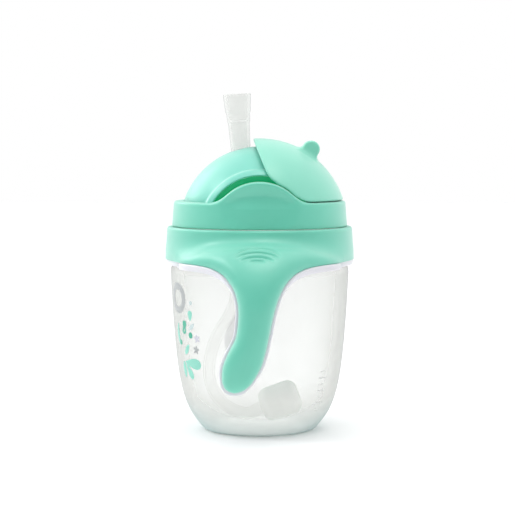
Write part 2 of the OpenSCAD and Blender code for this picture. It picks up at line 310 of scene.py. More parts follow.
def surface(name, field, low, high):
    """Mesh of a field that is the same on both sides of Y = 0, with its points on the exact surface."""
    x = np.arange(low[0], high[0] + VOXEL, VOXEL)
    y = -np.arange(math.ceil(-low[1] / VOXEL), -1, -1) * VOXEL
    z = np.arange(low[2], high[2] + VOXEL, VOXEL)
    values = field(x[:, None, None], y[None, :, None], z[None, None, :])
    band = 3 * VOXEL
    values = np.clip(values, -band, band).astype(np.float32)
    values = np.concatenate([values, values[:, -2::-1]], axis=1)
    grid = openvdb.FloatGrid(background=band)
    grid.copyFromArray(values)
    points, _, quads = grid.convertToPolygons(isovalue=0.0, adaptivity=0.0)
    points = points * VOXEL + [x[0], y[0], z[0]]
    for _ in range(2):
        here = field(*points.T)
        slope = np.stack([field(*(points + shift).T) - field(*(points - shift).T)
                          for shift in np.eye(3) * SLOPE_STEP], axis=1) / (2 * SLOPE_STEP)
        move = here / np.maximum((slope**2).sum(1), 0.3)
        points -= slope * np.clip(move, -0.5 * VOXEL, 0.5 * VOXEL)[:, None]
    return add_mesh(name, points, quads, 180)


def lengths(x, y, z):
    """Distances from the cup's axis, the cover's axis and the dome's centre, and height over that centre."""
    w = z - PIVOT_Z
    return np.hypot(x, y), np.hypot(x, w), np.sqrt(x * x + y * y + w * w), w


# ---------------------------------------------------------------- handle ring and grips

# Stations along a grip: reach and height of the parting face, its tilt, the half width,
# the sideways shift towards the drinking side and the thickness of the soft shell.
GRIP = [
    (22.0, 72.3, 0, 33.0, 0.0, 6.0),
    (30.0, 72.3, 0, 31.6, 0.0, 6.6),
    (36.0, 72.3, 0, 28.6, 0.0, 7.6),
    (41.0, 72.1, 6, 24.2, -0.1, 8.2),
    (45.5, 71.3, 18, 19.2, -0.3, 7.6),
    (49.5, 69.4, 34, 14.8, -0.5, 6.2),
    (52.4, 66.2, 56, 11.4, -0.6, 5.6),
    (54.0, 62.2, 76, 9.0, -0.7, 5.7),
    (54.7, 56.6, 88, 7.4, -1.1, 6.1),
    (55.0, 50.6, 90, 6.7, -1.9, 6.0),
    (55.1, 44.6, 90, 6.6, -3.0, 5.9),
    (55.2, 38.6, 90, 7.4, -5.2, 5.8),
    (55.2, 33.6, 90, 7.6, -6.9, 5.6),
    (55.2, 29.1, 90, 6.6, -8.3, 5.0),
    (55.2, 26.2, 90, 5.3, -9.1, 4.0),
    (55.2, 24.2, 90, 3.4, -9.6, 2.6),
    (55.2, 23.1, 90, 0.8, -9.8, 1.2),
]
SECTION = 2.35               # power of the rounded section: 2 is an ellipse, more is squarer
GRIP_STEPS = 8
stations = smooth(GRIP, GRIP_STEPS)
station_no = np.arange(len(stations)) / GRIP_STEPS


def place_on_grip(reach, z):
    """Station number and outward distance of points beside the grip's parting face."""
    tilt = np.radians(stations[:, 2])
    ahead = ((reach[..., None] - stations[:, 0]) * np.cos(tilt)
             - (z[..., None] - stations[:, 1]) * np.sin(tilt))
    i = np.clip((ahead > 0).sum(-1) - 1, 0, len(stations) - 2)
    a = np.take_along_axis(ahead, i[..., None], -1)[..., 0]
    b = np.take_along_axis(ahead, i[..., None] + 1, -1)[..., 0]
    share = np.clip(a / np.where(np.abs(a - b) < 1e-6, 1e-6, a - b), 0, 1)
    near = stations[i] * (1 - share[..., None]) + stations[i + 1] * share[..., None]
    turn = np.radians(near[..., 2])
    out = (reach - near[..., 0]) * np.sin(turn) + (z - near[..., 1]) * np.cos(turn)
    return (i + share) / GRIP_STEPS, out


# Places on the grip, worked out once on a grid over its side view.
TABLE_STEP = 0.25
table_reach = np.arange(0, 64, TABLE_STEP)
table_z = np.arange(18, 92, TABLE_STEP)
grip_table = np.stack(place_on_grip(*np.meshgrid(table_reach, table_z, indexing="ij")), axis=-1)


def on_grip(y, z):
    """Half width, sideways shift, shell thickness, outward distance and station of points near a grip."""
    reach, z = np.broadcast_arrays(np.abs(y), z)
    a = np.clip((reach - table_reach[0]) / TABLE_STEP, 0, len(table_reach) - 1.001)
    b = np.clip((z - table_z[0]) / TABLE_STEP, 0, len(table_z) - 1.001)
    i, k = a.astype(int), b.astype(int)
    f, g = (a - i)[..., None], (b - k)[..., None]
    found = ((grip_table[i, k] * (1 - f) + grip_table[i + 1, k] * f) * (1 - g)
             + (grip_table[i, k + 1] * (1 - f) + grip_table[i + 1, k + 1] * f) * g)
    station, out = found[..., 0], found[..., 1]
    half, shift, thick = (np.interp(station, station_no, stations[:, c]) for c in (3, 4, 5))
    return half, shift, thick, out, station


TIP_Z = 23.1                 # lowest point of the soft shell

# Half widths of the rigid core round the tip, at their heights.
RIM_Z_AT = [TIP_Z - CORE_RIM, 22.3, 23.2, 24.5, 26.2, 29.1]
RIM_HALF = [0.6, 2.7, 4.1, 5.3, 6.6, 7.7]

# Grooves on the shoulder: station of the arch's top, half width, fall at its ends in stations, and depth.
RIBS = [(3.5, 9.8, 0.95, 0.7), (4.08, 9.0, 0.5, 0.85), (4.54, 6.9, 0.31, 0.75), (4.88, 3.2, 0.06, 0.55)]
RIB_X = -1.2
RIB_W = 0.1                  # half width of a groove, in stations


def ribs(x, station):
    """Depth of the arched grooves on a grip's shoulder."""
    depth = 0
    for at, half, bow, deep in RIBS:
        share = np.clip(np.abs(x - RIB_X) / half, 0, 1)
        off = (station - at - bow * share**2) / RIB_W
        depth = depth + deep * np.exp(-off * off) * (1 - share**4)
    return depth


def grip_field(x, y, z):
    """Soft shell of the handle: a ring and two grips that grow out of it, open towards the core."""
    half, shift, thick, out, station = on_grip(y, z)
    a, b = np.abs(x - shift) / half, np.abs(out) / thick
    size = (a**SECTION + b**SECTION + 1e-9) ** (1 / SECTION)
    slope = np.hypot(a ** (SECTION - 1) / half, b ** (SECTION - 1) / thick) * size ** (1 - SECTION)
    arm = (size - 1) / np.maximum(slope, 0.03)
    arm = meet(arm, TIP_Z - z, 0.6)
    rho = np.hypot(x, y)
    cone = rho - (RING_R - 0.064 * (z - RING_Z))
    ring = meet(cone, z - RING_TOP, 1.2)
    shell = join(ring, arm, 6.0) + ribs(x, station)
    shell = meet(shell, -out, 0.3)
    shell = np.maximum(shell, RING_BORE + 0.4 - rho)
    return np.maximum(shell, -np.maximum(rho - CORE_R, z - RING_CAP))


def core_field(x, y, z):
    """Rigid inner half of the grips, which shows as a rim round the soft shell."""
    half, shift, _, out, _ = on_grip(y, z)
    rho = np.hypot(x, y)
    half = np.where(z < RIM_Z_AT[-1], np.interp(z, RIM_Z_AT, RIM_HALF), half + CORE_RIM)
    arm = meet(np.abs(x - shift) - half, between(out, -CORE_T, 0), 0.7)
    arm = meet(arm, TIP_Z - CORE_RIM - z, 0.4)
    arm = meet(arm, rho - RING_R + 0.5 - 0.9 * np.maximum(np.abs(y) - 24, 0), 0.5)
    return np.maximum(arm, CORE_R - 0.6 - rho)


def make_core_ring():
    """The rigid ring under the soft shell, with the lip that shows below it."""
    lip_r = RING_R - 0.5
    lip = [(lip_r - 0.8, SEAT_Z), (lip_r - 0.25, SEAT_Z + 0.2), (lip_r, SEAT_Z + 0.7), (lip_r, RING_Z - 0.05)]
    above = [(CORE_R, RING_Z - 0.05), (CORE_R - 0.05, RING_CAP), (RING_BORE, RING_CAP)]
    return lathe("core_ring", [(RING_BORE, SEAT_Z)] + lip + above, 192)


# ---------------------------------------------------------------- lid

def ear_line(x, w):
    """Outline of an ear and the ledge beside it, seen along Y."""
    return join(np.hypot(x, w) - EAR_R, w - (LEDGE_Z - PIVOT_Z), 4.0)


def collar_field(x, y, z):
    """Collar with a ledge round the dome and a dished ear on each side."""
    rho, _, _, w = lengths(x, y, z)
    side = np.abs(y)
    outer = COLLAR_R - (COLLAR_R - COLLAR_TOP_R) * np.clip((z - COLLAR_Z) / (LEDGE_Z - COLLAR_Z), 0, 1)
    dish = np.clip(1.35 - (x / 14.5) ** 2 - ((w - 8.2) / 9.6) ** 2, 0, 1)
    deep = 0.6 + 0.9 * np.clip((z - LEDGE_Z + 2.5) / 5, 0, 1)
    outer = outer - deep * dish**2 * (3 - 2 * dish) * (side > 20)
    body = meet(rho - outer, ear_line(x, w), 1.5)
    body = meet(body, COLLAR_Z - z, 0.4)
    body = cut(body, np.maximum(LEDGE_Z - z, side - EAR_Y), 0.5)
    body = cut(body, np.maximum(rho - HOLE_R, np.minimum(z - LEDGE_Z + 1, side - EAR_Y)), 0.5)
    return cut(body, np.maximum(rho - COLLAR_BORE, z - LEDGE_Z + LEDGE_T), 0.4)


# Along the folded mouthpiece and square to it, and its bend from the dome's centre, all in (X, Z).
fold_way = np.array([-math.sin(FOLD), math.cos(FOLD)])
fold_up = np.array([math.cos(FOLD), math.sin(FOLD)])
bend_at = np.array([BEND[0], BEND[2] - PIVOT_Z])


def channel(x, y, w, grown):
    """The channel that takes the folded mouthpiece, grown by some thickness."""
    high = bend_at - fold_up * (SPOUT_R + 0.5)
    low = bend_at + fold_way * (SPOUT_L + 0.9) - fold_up * (TIP_R + 0.5)
    along = (low - high) / np.linalg.norm(low - high)
    floor = (x - high[0]) * along[1] - (w - high[1]) * along[0]
    floor = floor if along[0] * fold_up[1] - along[1] * fold_up[0] < 0 else -floor
    end = (x - low[0]) * fold_way[0] + (w - low[1]) * fold_way[1]
    outline = meet(floor, np.minimum(end, EDGE - w), 2.0)
    outline = meet(outline, x - SLOT_X, 1.0)
    return meet(outline, np.abs(y) - SLOT_W / 2, 1.2) - grown


def vent_place(x, y, w):
    """Height along the vent's axis and distance from it."""
    up = x * math.sin(VENT_TURN) + w * math.cos(VENT_TURN)
    off = x * math.cos(VENT_TURN) - w * math.sin(VENT_TURN)
    return up, np.hypot(off, y)


def dome_field(x, y, z):
    """Hollow dome with its flange, tracks and lips, the mouthpiece's channel and boss and the vent's seat."""
    rho, arc, r, w = lengths(x, y, z)
    side = np.abs(y)
    skin = meet(r - DOME_R, rho - HOLE_R + 0.2, 0.8)
    skin = cut(skin, np.maximum(arc - EAR_R, EAR_Y - 0.2 - side), 0.3)
    lip = meet(r - LIP_R, between(arc, LIP_IN, LIP_OUT), 0.9)
    lip = np.maximum(lip, np.maximum(TRACK_Y - 1 - side, LEDGE_Z - 0.6 - z))
    skin = join(skin, lip, 0.7)
    hollow = np.minimum(np.maximum(r - DOME_R + DOME_T, side - TRACK_Y + DOME_T),
                        np.maximum(np.maximum(r - DOME_R + DOME_T, arc - EAR_R + DOME_T),
                                   side - EAR_Y + DOME_T))
    skin = np.maximum(skin, -hollow)
    walls = np.maximum(channel(x, y, w, DOME_T), np.maximum(r - DOME_R + 0.3, rho - HOLE_R + 1))
    skin = join(skin, walls, 0.5)
    from_spout = np.hypot(x - BEND[0], y)
    boss = np.maximum(from_spout - BOSS_R, np.maximum(BOSS_Z - z, z - BOSS_Z - 15))
    skin = join(skin, boss, 0.5)
    flange = np.maximum(rho - FLANGE_R, np.abs(z - LEDGE_Z + LEDGE_T + 0.75) - 0.75)
    skin = np.maximum(join(skin, np.maximum(flange, 31 - rho), 0.3), LEDGE_Z - LEDGE_T - 1.5 - z)
    skin = cut(skin, channel(x, y, w, 0), 0.7)
    skin = cut(skin, np.maximum(from_spout - SPOUT_R, z - BEND[2] - 2), 0.3)
    slot = np.maximum(between(arc, EAR_R, LIP_IN), TRACK_Y - side)
    under = np.maximum(between(arc, EAR_R, LIP_IN + UNDERCUT), np.maximum(TRACK_Y - side, side - HOOK_Y))
    track = np.maximum(np.minimum(slot, under), LEDGE_Z - 0.3 - z)
    skin = cut(skin, track, 0.35)
    up, off = vent_place(x, y, w)
    vent = np.minimum(np.maximum(off - VENT_R - 0.3, VENT_FACE - up), np.maximum(off - 1.5, 25 - up))
    return cut(skin, vent, 0.3)


def cover_field(x, y, z):
    """Cover outside the ears' outline, open and closed, with its hooked rails and its finger knob."""
    _, arc, r, w = lengths(x, y, z)
    side = np.abs(y)
    ahead = x * math.sin(TRAVEL) + w * math.cos(TRAVEL)
    beside = x * math.cos(TRAVEL) - w * math.sin(TRAVEL)
    outline = GAP - np.minimum(ear_line(x, w), ear_line(beside, ahead))
    shell = meet(r - COVER_R, outline, 1.0)
    shell = meet(shell, COVER_R - COVER_T - r, 0.6)
    rail = np.maximum(between(arc, EAR_R, LIP_IN) + GAP,
                      np.maximum(TRACK_Y + GAP - side, r - COVER_R + 0.4))
    hook = np.maximum(between(arc, EAR_R, LIP_IN + UNDERCUT) + GAP,
                      np.maximum(TRACK_Y + GAP - side, side - HOOK_Y + 0.2))
    rail = np.maximum(np.minimum(rail, hook), EDGE + 2.2 - np.minimum(ahead, w))
    shell = join(shell, rail, 0.3)
    out = x * math.sin(KNOB_TURN) + w * math.cos(KNOB_TURN)
    off = x * math.cos(KNOB_TURN) - w * math.sin(KNOB_TURN)
    tab = np.hypot(off, np.maximum(out - KNOB_OUT, 0)) - KNOB_R + 0.02 * (out - COVER_R)
    tab = meet(tab, side - KNOB_W / 2 + 0.06 * (out - COVER_R), 1.1)
    tab = np.maximum(tab, COVER_R - COVER_T / 2 - out)
    return join(shell, tab, 2.6)


# ---------------------------------------------------------------- straw, mouthpiece, weight

# The straw's middle line, from the holder's nozzle to a point just behind the weight.
TUBE = [(-7.8, 0, TUBE_TOP), (-7.8, 0, 84.6), (-8, 0, 76.6), (-8.6, 0, 68.6), (-9.4, 0, 60.6),
        (-10.8, 0, 52.6), (-13.6, 0, 46.6), (-17, 0.2, 41.1), (-19.8, 0.5, 34.6), (-21.4, 0.9, 27.6),
        (-21.4, 1.3, 21.1), (-19.4, 1.6, 15), (-15.6, 1.6, 10.2), (-11, 1, 7.3), (-6.6, 0, 6.1),
        (-3.4, -1.2, 6.6)]
into_weight = np.array([math.cos(WEIGHT_TILT), 0, math.sin(WEIGHT_TILT)])
weight_rear = WEIGHT_AT - into_weight * WEIGHT_L / 2
tube_route = smooth(TUBE + [tuple(weight_rear - into_weight * 0.6)], 6)
tube_route = np.concatenate([tube_route, [weight_rear]])


def spout_radius(h):
    """Outer radius of the mouthpiece at a height above its bending point."""
    return np.interp(h, [0, 3, 13.6, 14.4, 17.9, 18.5, SPOUT_L - 0.5, SPOUT_L],
                     [SPOUT_R, SPOUT_R, 4.5, 4.75, 5.0, 5.3, TIP_R, TIP_R - 0.2])


def spout_bore(h):
    """Inner radius of the mouthpiece at a height above its bending point."""
    return np.interp(h, [-18, 0, 14, 15.2, SPOUT_L], [2.5, 3.1, 3.6, 3.95, 4.85])


def make_mouthpiece():
    """Upper part, bend and root of the soft mouthpiece, hollow but for the web that stops drips."""
    low, web = -17.8, 14.5       # heights of the root's flange and of the web
    heights = np.concatenate([np.linspace(low + 1.6, -3.6, 12), np.linspace(-3, 13, 33),
                              np.linspace(13.4, SPOUT_L, 34)])
    outer = [(spout_radius(h) - (0.05 if h < 0 else 0), h) for h in heights]
    above = [(spout_bore(h), h) for h in heights[::-1] if h > web + 0.8]
    below = [(spout_bore(h), h) for h in heights[::-1] if h < web - 0.8]
    drip_web = [(3.3, web + 0.25), (0.5, web + 0.2), (0.5, web - 0.2), (3.3, web - 0.25)]
    inner = above + drip_web + below
    flange = [(inner[-1][0], low - 1.4), (BOSS_R - 0.35, low - 1.4), (BOSS_R - 0.1, low - 1.1),
              (BOSS_R - 0.1, low - 0.25), (BOSS_R - 0.35, low), (SPOUT_R + 0.1, low)]
    piece = lathe("mouthpiece_soft", flange + outer + inner, 72, 42)
    for vertex in piece.data.vertices:
        x, y, h = np.array(vertex.co) / MM
        share = min(max((h + 4) / 8, 0), 1)
        turn = -LEAN * share * share * (3 - 2 * share)
        vertex.co = (BEND + np.array([x * math.cos(turn) + h * math.sin(turn), y,
                                      h * math.cos(turn) - x * math.sin(turn)])) * MM
    return piece


def place_along(piece, at, direction):
    """Turns a piece made along +Z to a direction and moves it to a point in millimetres."""
    turn = Vector((0, 0, 1)).rotation_difference(Vector(direction)).to_matrix().to_4x4()
    piece.data.transform(turn)
    for vertex in piece.data.vertices:
        vertex.co += Vector(at) * MM
    return piece


def weight_half(name, side):
    """One of the weight's two shells: side is 1 for the front one and -1 for the rear one."""
    half, wall, sleeve = WEIGHT_L / 2, 1.5, 2.6
    hollow = WEIGHT_R - wall - 0.7
    corners = [(sleeve, half), (sleeve, half - wall), (hollow, half - wall), (hollow, 0),
               (WEIGHT_R - 0.08, 0), (WEIGHT_R, 0.08)]
    end = [(WEIGHT_R - WEIGHT_ROUND * (1 - math.cos(a)), half - WEIGHT_ROUND * (1 - math.sin(a)))
           for a in np.linspace(0, math.pi / 2, 12)]
    piece = lathe(name, corners + end, 72, 40)
    return place_along(piece, WEIGHT_AT, into_weight * side)


def make_valve():
    """Silicone plug of the vent, with a wide head on the dome and a lip behind its wall."""
    up = [(0.8, VENT_FACE - 4.8), (2.1, VENT_FACE - 4.8), (2.4, VENT_FACE - 4.4), (2.4, VENT_FACE - 2.2),
          (1.47, VENT_FACE - 1.6), (1.47, VENT_FACE), (VENT_R, VENT_FACE), (VENT_R, VENT_FACE + 0.35),
          (2.7, VENT_FACE + 0.62), (1.5, VENT_FACE + 0.7), (0.9, VENT_FACE + 0.2), (0, VENT_FACE)]
    outline = [(0, VENT_FACE - 0.8), (0.8, VENT_FACE - 0.8)] + up
    piece = lathe("vent_valve_soft", outline, 64, 40)
    return place_along(piece, (0, 0, PIVOT_Z), (math.sin(VENT_TURN), 0, math.cos(VENT_TURN)))


# ---------------------------------------------------------------- cup

def cup_side(inset):
    """The cup's side from foot to shoulder as (radius, height) points, moved inwards by some thickness."""
    return bezier((24.4 - inset, 0.9), (31.9 - inset, 10.3), (35.3 - inset, 14), (CUP_R - inset, 66.6), 44)


def make_cup(outside, inside):
    """The cup and its thread, with a material of its own on the inside, where light only passes."""
    inner = [p for p in cup_side(CUP_WALL) if 5 < p[1] < 65.6]
    shoulder = [(35.75, 66.6), (35.5, 67.6), (34.6, 69.6), (33, 71.6), (32.1, 73.1), (NECK_IN, 75.1)]
    rim = [(NECK_IN, RIM_Z - 0.5), (NECK_IN + 0.2, RIM_Z - 0.1), (NECK_IN + 0.6, RIM_Z),
           (NECK_R - 0.4, RIM_Z), (NECK_R - 0.1, RIM_Z - 0.15), (NECK_R, RIM_Z - 0.5)]
    band = [(NECK_R, RING_TOP + 0.4), (NECK_R + 0.3, RING_TOP), (BAND_R - 0.3, RING_TOP - 1.2),
            (BAND_R, RING_TOP - 1.6), (BAND_R, SEAT_Z + 0.2), (BAND_R + 0.2, SEAT_Z),
            (CUP_R - 1.1, SEAT_Z), (CUP_R - 0.5, SEAT_Z - 0.35), (CUP_R - 0.1, SEAT_Z - 1.6)]
    foot = [(23.7, 0.4), (23.0, 0.1), (22.2, 0), (20.9, 0),
            (20.55, 0.2), (20.2, 1.0), (19.7, 1.2), (0, 1.2)]
    floor = [(0, FLOOR_Z), (20.6, FLOOR_Z), (22.3, 3.55), (24.2, 4.4)]
    outer = list(cup_side(0))[::-1]
    body = lathe("cup_shape", floor + inner + shoulder + rim + band + outer + foot, 192)
    body = merge(body, thread("cup_thread", NECK_R, 1, 89.1))
    body.data.materials.append(outside)
    body.data.materials.append(inside)
    middle = cup_side(0.7)
    for face in body.data.polygons:
        x, y, z = np.array(face.center) / MM
        above = max(NECK_IN + 0.1, NECK_IN + (SEAT_Z + 2 - z) * 0.7)
        wall = np.interp(z, middle[:, 1], middle[:, 0]) if z < SEAT_Z - 4 else above
        face.material_index = int(z > FLOOR_Z - 0.1 and math.hypot(x, y) < wall)
    return body


PRINT_R = 36.0               # radius on which distances round the cup are taken
side_line = cup_side(0)


def on_cup(around, z, off):
    """Points off the cup's wall, at a distance round it from the drinking side towards -Y and a height."""
    r = np.interp(z, side_line[:, 1], side_line[:, 0])
    angle = around / PRINT_R
    return (-(r + off) * np.cos(angle), -(r + off) * np.sin(angle), z)


def outline_of(kind, turn):
    """Edge of a printed mark of half size 1, as points at turns round its centre."""
    c, s = np.cos(turn), np.sin(turn)
    if kind == "drop":
        return np.array([0.6 * s * (1 - 0.5 * c), c]).T
    if kind == "petal":
        return np.array([0.34 * s * (1 - 0.7 * c), c]).T
    if kind == "bar":
        return np.array([np.clip(1.6 * s, -1, 1), 0.1 * np.clip(1.6 * c, -1, 1)]).T
    if kind == "leaf":
        return np.array([0.42 * np.sign(s) * np.abs(s) ** 1.35, c]).T
    if kind == "star":
        r = 0.72 + 0.28 * np.cos(5 * turn)
        return np.array([r * s, r * c]).T
    if kind == "crescent":
        return np.array([0.16 * s + 0.3 * (1 - c * c), c]).T
    return np.array([s, c]).T


def make_print(name, marks):
    """Thin printed marks on the cup's wall: kind, place round, height, half size, turn and inner hole."""
    points, faces = [], []
    steps, sides = 4, 40
    for kind, around, z, size, tilt, hole in marks:
        turn = np.linspace(0, 2 * math.pi, sides, endpoint=False)
        edge = outline_of(kind, turn) * size
        c, s = math.cos(math.radians(tilt)), math.sin(math.radians(tilt))
        edge = edge @ np.array([[c, -s], [s, c]])
        first = len(points)
        for off, shares in ((0.08, np.linspace(hole, 1, steps)), (0.01, np.linspace(1, hole, steps))):
            for share in shares:
                ring = edge * share
                spot = on_cup(around + ring[:, 0], z + ring[:, 1], off)
                points += list(np.stack(np.broadcast_arrays(*spot), axis=1))
        faces += [tuple(first + k for k in face)
                  for face in ring_faces(2 * steps, sides, closed=hole > 0)]
    return add_mesh(name, points, faces)


# ---------------------------------------------------------------- materials

def linear(red, green, blue):
    """Shader colour of an 8-bit screen colour."""
    share = [c / 255 for c in (red, green, blue)]
    return [c / 12.92 if c <= 0.04045 else ((c + 0.055) / 1.055) ** 2.4 for c in share] + [1]


def mapped(tree, source, low, high, from_low=0.0, from_high=1.0):
    """A value mapped from one range to another."""
    made = tree.nodes.new("ShaderNodeMapRange")
    for key, value in (("From Min", from_low), ("From Max", from_high), ("To Min", low), ("To Max", high)):
        made.inputs[key].default_value = value
    tree.links.new(source, made.inputs["Value"])
    return made.outputs["Result"]


class Finish:
    """A material under construction: a Principled shader and the nodes that feed it."""

    def __init__(self, name):
        self.material = bpy.data.materials.new(name)
        self.material.use_nodes = True
        self.tree = self.material.node_tree
        self.shader = self.tree.nodes["Principled BSDF"]
        self.place = self.tree.nodes.new("ShaderNodeTexCoord").outputs["Object"]

    def node(self, kind, **values):
        made = self.tree.nodes.new(kind)
        for key, value in values.items():
            setattr(made, key, value)
        return made

    def link(self, source, target):
        self.tree.links.new(source, target)

    def put(self, value, target):
        """Gives a socket another socket's value, or a fixed one."""
        if isinstance(value, bpy.types.NodeSocket):
            self.link(value, target)
        else:
            target.default_value = value

    def set(self, **values):
        """Gives the shader's own sockets their values."""
        for key, value in values.items():
            self.put(value, self.shader.inputs[key.replace("_", " ")])

    def noise(self, size, detail=3.0):
        """Noise whose blotches are about size millimetres across."""
        made = self.node("ShaderNodeTexNoise")
        made.inputs["Scale"].default_value = 1 / (size * MM)
        made.inputs["Detail"].default_value = detail
        self.link(self.place, made.inputs["Vector"])
        return made.outputs["Fac"]

    def spread(self, source, low, high, from_low=0.0, from_high=1.0):
        return mapped(self.tree, source, low, high, from_low, from_high)

    def mix(self, factor, first, second):
        """Colour between two colours."""
        made = self.node("ShaderNodeMix", data_type="RGBA")
        self.link(factor, made.inputs["Factor"])
        self.put(first, made.inputs[6])
        self.put(second, made.inputs[7])
        return made.outputs[2]

    def compute(self, operation, first, second, clamped=False):
        made = self.node("ShaderNodeMath", operation=operation, use_clamp=clamped)
        self.put(first, made.inputs[0])
        self.put(second, made.inputs[1])
        return made.outputs[0]

    def add(self, first, second):
        """Sum of two opacities, at most 1."""
        return self.compute("ADD", first, second, clamped=True)

    def grain(self, size, depth, detail=2.0):
        """Fine bumps of a size and depth in millimetres."""
        bump = self.node("ShaderNodeBump")
        bump.inputs["Distance"].default_value = depth * MM
        bump.inputs["Strength"].default_value = 1.0
        self.link(self.noise(size, detail), bump.inputs["Height"])
        self.link(bump.outputs["Normal"], self.shader.inputs["Normal"])

    def facing(self):
        """0 where a surface faces the eye and 1 at its outline."""
        made = self.node("ShaderNodeLayerWeight")
        made.inputs["Blend"].default_value = 0.5
        return made.outputs["Facing"]


def moulded(name, colour, shade, roughness=(0.36, 0.46), grain=0.006, deep=None):
    """Satin moulded plastic: slight mottling, uneven gloss, fine grain and light that soaks in a little."""
    made = Finish(name)
    blotch = made.spread(made.noise(14, 4), 0, 1, 0.3, 0.7)
    mottled = made.mix(blotch, linear(*colour), linear(*shade))
    made.set(Base_Color=mottled, Roughness=made.spread(made.noise(2.2, 3), *roughness))
    made.grain(0.45, grain)
    made.set(IOR=1.55, Specular_IOR_Level=0.7, Sheen_Weight=0.45, Sheen_Roughness=0.5)
    made.set(Subsurface_Weight=0.1, Subsurface_Scale=0.0016, Subsurface_Radius=(0.6, 1.0, 0.85))
    # deep is the colour of the painted glow in the arc tracks, where light only arrives through the plastic
    if deep:
        painted_track_glow(made, mottled, linear(*deep))
    return made.material


def painted_track_glow(made, colour, deep):
    """Painted deeper colour and glow in the arc tracks, standing in for the light that only arrives there
    through the plastic.
    """
    from_pivot = made.node("ShaderNodeVectorMath", operation="SUBTRACT")
    made.link(made.place, from_pivot.inputs[0])
    from_pivot.inputs[1].default_value = (0, 0, PIVOT_Z * MM)
    flat = made.node("ShaderNodeVectorMath", operation="MULTIPLY")
    made.link(from_pivot.outputs[0], flat.inputs[0])
    flat.inputs[1].default_value = (1, 0, 1)
    length = made.node("ShaderNodeVectorMath", operation="LENGTH")
    made.link(flat.outputs[0], length.inputs[0])
    inside = made.spread(length.outputs["Value"], 1, 0, (LIP_IN - 0.05) * MM, (LIP_IN + 0.25) * MM)
    outside = made.spread(length.outputs["Value"], 0, 1, (EAR_R - 0.9) * MM, (EAR_R - 0.4) * MM)
    in_track = made.compute("MULTIPLY", inside, outside)
    # Painted glow: the tracks take the deep colour and a faint emission of it
    made.set(Base_Color=made.mix(in_track, colour, deep), Emission_Color=deep,
             Emission_Strength=made.spread(in_track, 0, 0.32))


# Colours of a clear part's far wall and of the light that comes through it.
FAR_WALL = linear(120, 121, 119)
FAR_LIGHT = linear(251, 252, 250)


def clear(name, face, edge, alpha, roughness, hazy_and_shaded_bottom=None, start=0.35, steep=1.6, grain=0.004,
          shine=0.5, behind=None):
    """Frosted clear plastic or silicone: nearly clear where it faces the eye, denser at its outline.

    The bottom setting adds some opacity and a tint below one height, which fade out up to another: the bottom
    looks hazier, and its darker tint is partly painted shade near the floor. Behind gives the far wall, seen
    from its inner side, more opacity and the glow of the light that comes through it.
    """
    made = Finish(name)
    turned = made.spread(made.facing(), 0, 1, start, 0.97)
    dense = made.compute("POWER", turned, steep)
    cloudy = made.spread(made.noise(9, 4), -0.02, 0.03)
    opacity = made.add(made.spread(dense, *alpha), cloudy)
    colour = made.mix(dense, linear(*face), linear(*edge))
    # Painted shade: below the given height the colour turns to the darker tint, as well as growing hazier
    if hazy_and_shaded_bottom:
        low, high, extra, tint = hazy_and_shaded_bottom
        split = made.node("ShaderNodeSeparateXYZ")
        made.link(made.place, split.inputs[0])
        depth = made.spread(split.outputs["Z"], 1, 0, low * MM, high * MM)
        opacity = made.add(opacity, made.spread(depth, 0, extra))
        colour = made.mix(depth, colour, linear(*tint))
    if behind:
        haze, glow = behind
        far = made.node("ShaderNodeNewGeometry").outputs["Backfacing"]
        opacity = made.add(opacity, made.spread(far, 0, haze))
        colour = made.mix(far, colour, FAR_WALL)
        made.set(Emission_Color=FAR_LIGHT, Emission_Strength=made.spread(far, 0, glow))
    made.set(Base_Color=colour, Alpha=opacity, Roughness=made.spread(made.noise(1.6, 3), *roughness))
    if grain:
        made.grain(0.6, grain)
    made.set(IOR=1.45, Specular_IOR_Level=shine)
    return made.material


def steel(name):
    """Bare steel, with slight mottling and uneven gloss."""
    made = Finish(name)
    made.set(Base_Color=made.mix(made.noise(3), linear(176, 178, 182), linear(204, 206, 208)))
    made.set(Roughness=made.spread(made.noise(0.8), 0.22, 0.38), Metallic=1.0)
    made.grain(0.3, 0.004)
    return made.material


def ink(name, colour):
    """Printing ink, slightly uneven."""
    made = Finish(name)
    shade = [int(c * 0.94) for c in colour]
    made.set(Base_Color=made.mix(made.noise(1.2), linear(*colour), linear(*shade)))
    made.set(Roughness=made.spread(made.noise(0.7), 0.3, 0.45))
    return made.material


GRIP_MINT = moulded("grip_mint", (101, 202, 177), (96, 198, 173), roughness=(0.36, 0.44))
LID_MINT = moulded("lid_mint", (102, 204, 178), (97, 200, 174), roughness=(0.32, 0.4))
# The dome's deep colour is painted into its arc tracks as a glow, for light that only comes through the
# plastic
DOME_MINT = moulded("dome_mint", (112, 208, 188), (107, 204, 184), roughness=(0.34, 0.42),
                    deep=(14, 186, 128))
COVER_MINT = moulded("cover_mint", (126, 214, 189), (121, 210, 185), roughness=(0.36, 0.44))
WHITE = moulded("white_plastic", (226, 224, 230), (220, 218, 225), grain=0.004)
SEAL = moulded("seal_silicone", (226, 230, 230), (216, 221, 221), roughness=(0.45, 0.6))
MILKY = clear("weight_plastic", (254, 255, 253), (236, 242, 236), (0.92, 0.98), (0.3, 0.42))
